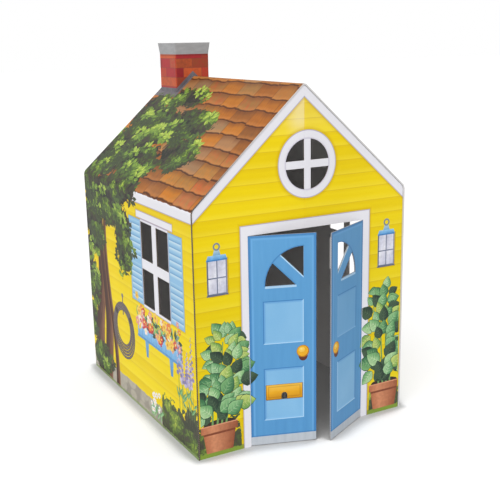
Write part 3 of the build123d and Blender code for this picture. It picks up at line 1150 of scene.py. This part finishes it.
def window_box(sheet, middle, seed):
    """A blue planter under a side window, full of flowers that stay below the panes."""
    chance = random.Random(seed)
    blue, pale, deep = ink(112, 172, 222), ink(158, 208, 242), ink(82, 140, 194)
    for off in (-BRACKET_REACH, BRACKET_REACH):
        bracket = middle + off
        sheet.taper(bracket, 0.010, BRACKET_FOOT, bracket, 0.019, BOX_FOOT + 0.004, [deep, deep, blue, blue])
    sheet.box(middle, BOX_HALF, BOX_FOOT, BOX_TOP, [blue, blue, pale, pale])
    for plank in range(1, BOX_PLANKS):
        line = middle - BOX_HALF + 2 * BOX_HALF * plank / BOX_PLANKS
        sheet.box(line, 0.0011, BOX_FOOT + 0.007, BOX_TOP - 0.008, deep)
    sheet.box(middle, BOX_HALF + 0.004, BOX_FOOT - 0.003, BOX_FOOT + 0.007, ink(92, 152, 206))
    sheet.box(middle, BOX_HALF + 0.005, BOX_TOP - 0.009, BOX_TOP + 0.005, ink(176, 218, 246))
    for _ in range(130):
        off = chance.uniform(-1.0, 1.0) * (BOX_HALF - 0.01)
        base = (middle + off, chance.uniform(0.372, 0.418))
        inks = chance.choice(PLANTER_LEAVES)[:3]
        length = chance.uniform(0.026, 0.046)
        angle = math.radians(chance.uniform(-120.0, 120.0))
        sheet.plate(*leaf_cells(base, angle, length, length * SMALL_LEAF_WIDTH, inks))
    for _ in range(58):
        off = chance.uniform(-1.0, 1.0) * BOX_HALF
        beside_panes = abs(off) > WINDOW_HALF + 0.02
        up = chance.uniform(0.356, 0.500 if beside_panes else 0.444)
        radius = chance.uniform(0.013, 0.023)
        colour = chance.choice(BLOOM_INKS)
        heart = ink(226, 140, 40) if colour == YELLOW_BLOOM else ink(250, 226, 120)
        blossom(sheet, middle + off, up, radius, chance.uniform(0.0, 1.2), 5, colour, 0.3, heart)


HOSE_RADIUS = 0.124
HOSE_PITCH = 0.0098
HOOK_RISE = 0.144


def hose_coil(sheet, across, up):
    """A garden hose hung in loose turns on a wall hook."""
    chance = random.Random(5)
    dark, mid, light = ink(72, 64, 66), ink(98, 88, 90), ink(136, 124, 124)
    sheet.box(across, 0.005, up + 0.06, up + HOOK_RISE - 0.002, mid)
    for turn in range(5):
        radius = HOSE_RADIUS - HOSE_PITCH * turn
        middle = across + chance.uniform(-0.005, 0.005)
        drop = up + (-0.010 + 0.0035 * turn)
        sheet.ring(middle, drop, radius - 0.0108, radius, dark, 40)
        sheet.ring(middle, drop, radius - 0.0082, radius - 0.0028, mid, 40)
        sheet.ring(middle - 0.0004, drop + 0.0006, radius - 0.0062, radius - 0.0044, light, 40)
    for tie in (0.7, 2.5):
        place = (across + 0.098 * math.cos(tie), up - 0.003 + 0.098 * math.sin(tie))
        sheet.oval(*place, 0.014, 0.014, ink(58, 52, 54), 10)
    sheet.oval(across, up + HOOK_RISE, 0.011, 0.011, ink(120, 116, 120), 10)


SPIKES = 7
SPIKE_SPACING = 0.020
SPIKE_BUDS = 16


def flower_spikes(sheet, across, foot, seed):
    """Tall lilac flower spikes on thin stems."""
    chance = random.Random(seed)
    lilacs = (ink(176, 166, 204), ink(150, 138, 188), ink(196, 188, 216), ink(132, 122, 168))
    for spike in range(SPIKES):
        place = across + (spike - SPIKES // 2) * SPIKE_SPACING + chance.uniform(-0.006, 0.006)
        top = foot + chance.uniform(0.17, 0.29)
        lean = chance.uniform(-0.012, 0.012)
        sheet.taper(place, 0.0018, foot - 0.05, place + lean, 0.001, top, ink(104, 136, 84))
        for bud in range(SPIKE_BUDS):
            share = bud / (SPIKE_BUDS - 1)
            up = top - (top - foot) * 0.62 * (1 - share)
            middle = place + lean * (up - foot) / (top - foot)
            size = 0.0105 * (1.05 - 0.7 * share)
            off = (-1 if bud % 2 else 1) * size * 0.75
            sheet.oval(middle + off, up, size, size * 0.82, chance.choice(lilacs), 7)
        for hand in (-1, 1):
            angle = hand * math.radians(chance.uniform(25.0, 60.0))
            base = (place, foot + chance.uniform(-0.03, 0.03))
            sheet.plate(*leaf_cells(base, angle, 0.05, 0.013, LEAF_TONES[1][:3]))


def daisies(sheet, across, seed):
    """A low clump of white daisies at the foot of the wall."""
    chance = random.Random(seed)
    for step in range(22):
        base = (across + chance.uniform(-0.05, 0.05), chance.uniform(0.004, 0.05))
        angle = math.radians(chance.uniform(-60.0, 60.0))
        inks = LEAF_TONES[step % 4][:3]
        sheet.plate(*leaf_cells(base, angle, chance.uniform(0.03, 0.05), 0.012, inks))
    for _ in range(12):
        place = (across + chance.uniform(-0.052, 0.052), chance.uniform(0.04, 0.125))
        radius = chance.uniform(0.010, 0.0145)
        turn = chance.uniform(0.0, 1.0)
        blossom(sheet, *place, radius, turn, 7, ink(240, 240, 242), 0.34, ink(240, 196, 60))


# Light and dark ink of the climber's sprays, from shade to sun
SPRAY_TONES = (
    (ink(62, 78, 38), ink(48, 58, 32)), (ink(90, 116, 42), ink(64, 88, 34)),
    (ink(144, 170, 60), ink(98, 130, 44)), (ink(198, 212, 92), ink(140, 168, 58)),
)
SPRAY_LIGHTS = (-0.3, -0.14, 0.08, 0.36)
SPRAY_LEAVES = 13
SPRAY_BREADTH = 1.35
SPRAY_LEAF_WIDTH = 0.56
SPRAYS_PER_AREA = 480


def leaf_fits(spot, window):
    """Whether a leaf's corner lies on flat card, clear of the eave, the ridge, the edges and the window."""
    across, up = spot
    on_card = FRONT_Y + 0.004 < across < BACK_Y - 0.004 and 0.004 < up < EAVE + ROOF_LENGTH - 0.03
    off_fold = abs(up - EAVE) > 0.02
    by_chimney = across > CHIMNEY_LOW.y - 0.03 and up > EAVE + ROOF_LENGTH - 0.14
    in_window = abs(across - window) < WINDOW_HALF + 0.006 and WINDOW_SILL - 0.012 < up < WINDOW_HEAD + 0.012
    return on_card and off_fold and not by_chimney and not in_window


def broadened(cells, middle):
    """Cells drawn out to both sides of a middle line."""
    return [
        ([(middle + (across - middle) * SPRAY_BREADTH, up) for across, up in outline], colours)
        for outline, colours in cells
    ]


def climber_leaves(sheet, window, seed):
    """Sprays of leaves over the climber's clumps, lighter towards the upper front of each clump."""
    chance = random.Random(seed)
    for along, up, half_along, half_up in LEAF_CLUMPS:
        sprays = []
        for _ in range(max(3, round(half_along * half_up * SPRAYS_PER_AREA))):
            bearing = chance.uniform(0.0, 2 * math.pi)
            reach = math.sqrt(chance.random()) * 0.98
            behind, above = math.cos(bearing), math.sin(bearing)
            heart = (MIDDLE_Y + along + half_along * reach * behind, up + half_up * reach * above)
            light = 0.36 + 0.26 * above * reach - 0.16 * behind * reach + chance.choice(SPRAY_LIGHTS)
            sprays.append((light, heart))
        for light, heart in sorted(sprays):
            for leaf in range(SPRAY_LEAVES):
                angle = 2 * math.pi * leaf / SPRAY_LEAVES + chance.uniform(-0.25, 0.25)
                length = chance.uniform(0.020, 0.034)
                base = leaf_spot(heart, angle, chance.uniform(0.002, 0.016), 0.0)
                tone = light + 0.24 * math.cos(angle) + chance.uniform(-0.1, 0.1)
                light_ink, dark_ink = SPRAY_TONES[max(0, min(3, int(tone * 4)))]
                inks = (dark_ink, light_ink, dark_ink)
                cells = broadened(leaf_cells(base, angle, length, length * SPRAY_LEAF_WIDTH, inks), heart[0])
                spots = [spot for outline, _ in cells for spot in outline]
                one_face = len({spot[1] < EAVE for spot in spots}) == 1
                if one_face and all(leaf_fits(spot, window) for spot in spots):
                    sheet.plate(*cells)


def side_prints():
    """Planter, flowers, hose and climber on the side walls and the slopes over them."""
    for side, name, window in (
        (-1.0, "left_side_prints", LEFT_WINDOW_Y), (1.0, "right_side_prints", RIGHT_WINDOW_Y),
    ):
        sheet = PrintSheet(name, "house", "side_and_roof_card", sheet_place(side))
        window_box(sheet, window, 31)
        if side < 0:
            hose_coil(sheet, MIDDLE_Y + 0.150, 0.300)
        flower_spikes(sheet, FRONT_Y + 0.088, 0.19, 17)
        daisies(sheet, MIDDLE_Y - 0.166, 41)
        climber_leaves(sheet, window, 7)
        sheet.trim(FRONT_Y + PRINT_MARGIN, -1)
        sheet.finish()


# A knob's ovals: offset across and up, both half widths as shares of its radius, and the ink
KNOB_OVALS = (
    (0.001, -0.017, 0.72, 0.86, ink(96, 54, 40)), (0.0, 0.0, 1.0, 1.0, ink(176, 112, 24)),
    (-0.001, 0.001, 0.88, 0.86, ink(232, 172, 40)), (-0.004, 0.006, 0.5, 0.42, ink(246, 200, 84)),
    (-0.006, 0.009, 0.2, 0.15, ink(252, 222, 130)),
)


def door_prints():
    """Knobs, and the parts of the pot plants that reach over onto the doors."""
    for name, body, hinge, turn, knob, plant, hand in (
        ("left_door_prints", "left_leaf", LEFT_HINGE, LEFT_TURN, LEFT_KNOB_REACH, LEFT_POT, 1),
        ("right_door_prints", "right_leaf", RIGHT_HINGE, RIGHT_TURN, RIGHT_KNOB_REACH, RIGHT_POT, -1),
    ):
        sheet = PrintSheet(name, body, "door_card", door_board_place(hinge, turn))
        across = hinge.x + hand * knob
        for off_across, off_up, half_across, half_up, colour in KNOB_OVALS:
            halves = (KNOB_RADIUS * half_across, KNOB_RADIUS * half_up)
            sheet.oval(across + off_across, KNOB_HEIGHT + off_up, *halves, colour, 24)
        pot_plant(sheet, **plant)
        sheet.trim(hinge.x + hand * PRINT_MARGIN, -hand)
        sheet.finish()


front_prints()
side_prints()
door_prints()

FLOOR_SIZE = 40.0
FLOOR_GREY = (0.55, 0.55, 0.55, 1.0)
FLOOR_LIFT = 0.5
WHITE = (1.0, 1.0, 1.0, 1.0)

# Shelter on the floor: how far it is looked for, and the openness at which the lift starts and is full
SHELTERS = ((0.12, 0.5, 0.84), (1.5, 0.34, 0.5))
SKY_LIGHT = 0.72
KEY_ENERGY = 1.7
KEY_SPREAD = 50.0
KEY_TOWARD = Vector((-0.58, -0.54, 0.70))
CAMERA_PLACE = Vector((-1.6593, -3.1413 + MIDDLE_Y, 1.4843))
CAMERA_HEADING, CAMERA_PITCH, CAMERA_ROLL = math.radians(28.90), math.radians(-13.85), math.radians(-1.05)
CAMERA_LENS = 62.1
CAMERA_SENSOR = 36.0


def seen(tree):
    """1 for what is looked at, straight or in a gloss, and 0 for the light that reaches other surfaces."""
    path = gives(add_node(tree, "ShaderNodeLightPath"))
    return most(path["Is Camera Ray"], path["Is Glossy Ray"], path["Is Transmission Ray"])


def studio_floor(scene):
    """A pale floor that is lifted to white where nothing shelters it, and left darker where something does,
    as painted shade.
    """
    bm = bmesh.new()
    bmesh.ops.create_grid(bm, x_segments=1, y_segments=1, size=FLOOR_SIZE)
    mesh = bpy.data.meshes.new("floor")
    bm.to_mesh(mesh)
    bm.free()
    floor = bpy.data.objects.new("floor", mesh)
    scene.collection.objects.link(floor)
    surface, material = new_material("studio_floor")
    (x, y, _), _ = object_place(surface)
    off_x = most(abs(x) - HALF_WIDTH, 0.0)
    off_y = most(abs(y - MIDDLE_Y) - (MIDDLE_Y - FRONT_Y), 0.0)
    lift = distance(off_x, off_y).rise(0.0, 0.04)
    # Painted shade: the lift fades where the floor is sheltered, so that the floor is darker near the house
    # and between the doors.
    for reach, shut, clear in SHELTERS:
        shelter = add_node(surface.id_data, "ShaderNodeAmbientOcclusion", samples=16)
        shelter.inputs["Distance"].default_value = reach
        lift = lift * gives(shelter)["AO"].rise(shut, clear)
    feed(surface.inputs["Emission Strength"], seen(surface.id_data) * (lift * FLOOR_LIFT))
    surface.inputs["Emission Color"].default_value = WHITE
    surface.inputs["Base Color"].default_value = FLOOR_GREY
    surface.inputs["Roughness"].default_value = 0.9
    mesh.materials.append(material)


def studio_light(scene):
    """Even white air, which shows as pure white, and a broad key light from the front left."""
    world = bpy.data.worlds.new("studio_air")
    world.use_nodes = True
    scene.world = world
    background = world.node_tree.nodes["Background"]
    background.inputs["Color"].default_value = WHITE
    feed(background.inputs["Strength"], SKY_LIGHT + seen(world.node_tree) * (1.0 - SKY_LIGHT))
    key = bpy.data.lights.new("key", "SUN")
    key.energy = KEY_ENERGY
    key.angle = math.radians(KEY_SPREAD)
    lamp = bpy.data.objects.new("key", key)
    lamp.rotation_euler = KEY_TOWARD.to_track_quat("Z", "Y").to_euler()
    scene.collection.objects.link(lamp)


def studio_camera(scene):
    """The photograph's camera."""
    camera = bpy.data.cameras.new("camera")
    camera.sensor_width = CAMERA_SENSOR
    camera.lens = CAMERA_LENS
    camera.clip_end = 200.0
    eye = bpy.data.objects.new("camera", camera)
    aim = Euler((math.pi / 2 + CAMERA_PITCH, 0.0, -CAMERA_HEADING)).to_matrix()
    turn = aim @ Matrix.Rotation(CAMERA_ROLL, 3, "Z")
    eye.matrix_world = Matrix.Translation(CAMERA_PLACE) @ turn.to_4x4()
    scene.collection.objects.link(eye)
    scene.camera = eye


studio = bpy.context.scene
studio.view_settings.view_transform = "Standard"
studio_floor(studio)
studio_light(studio)
studio_camera(studio)
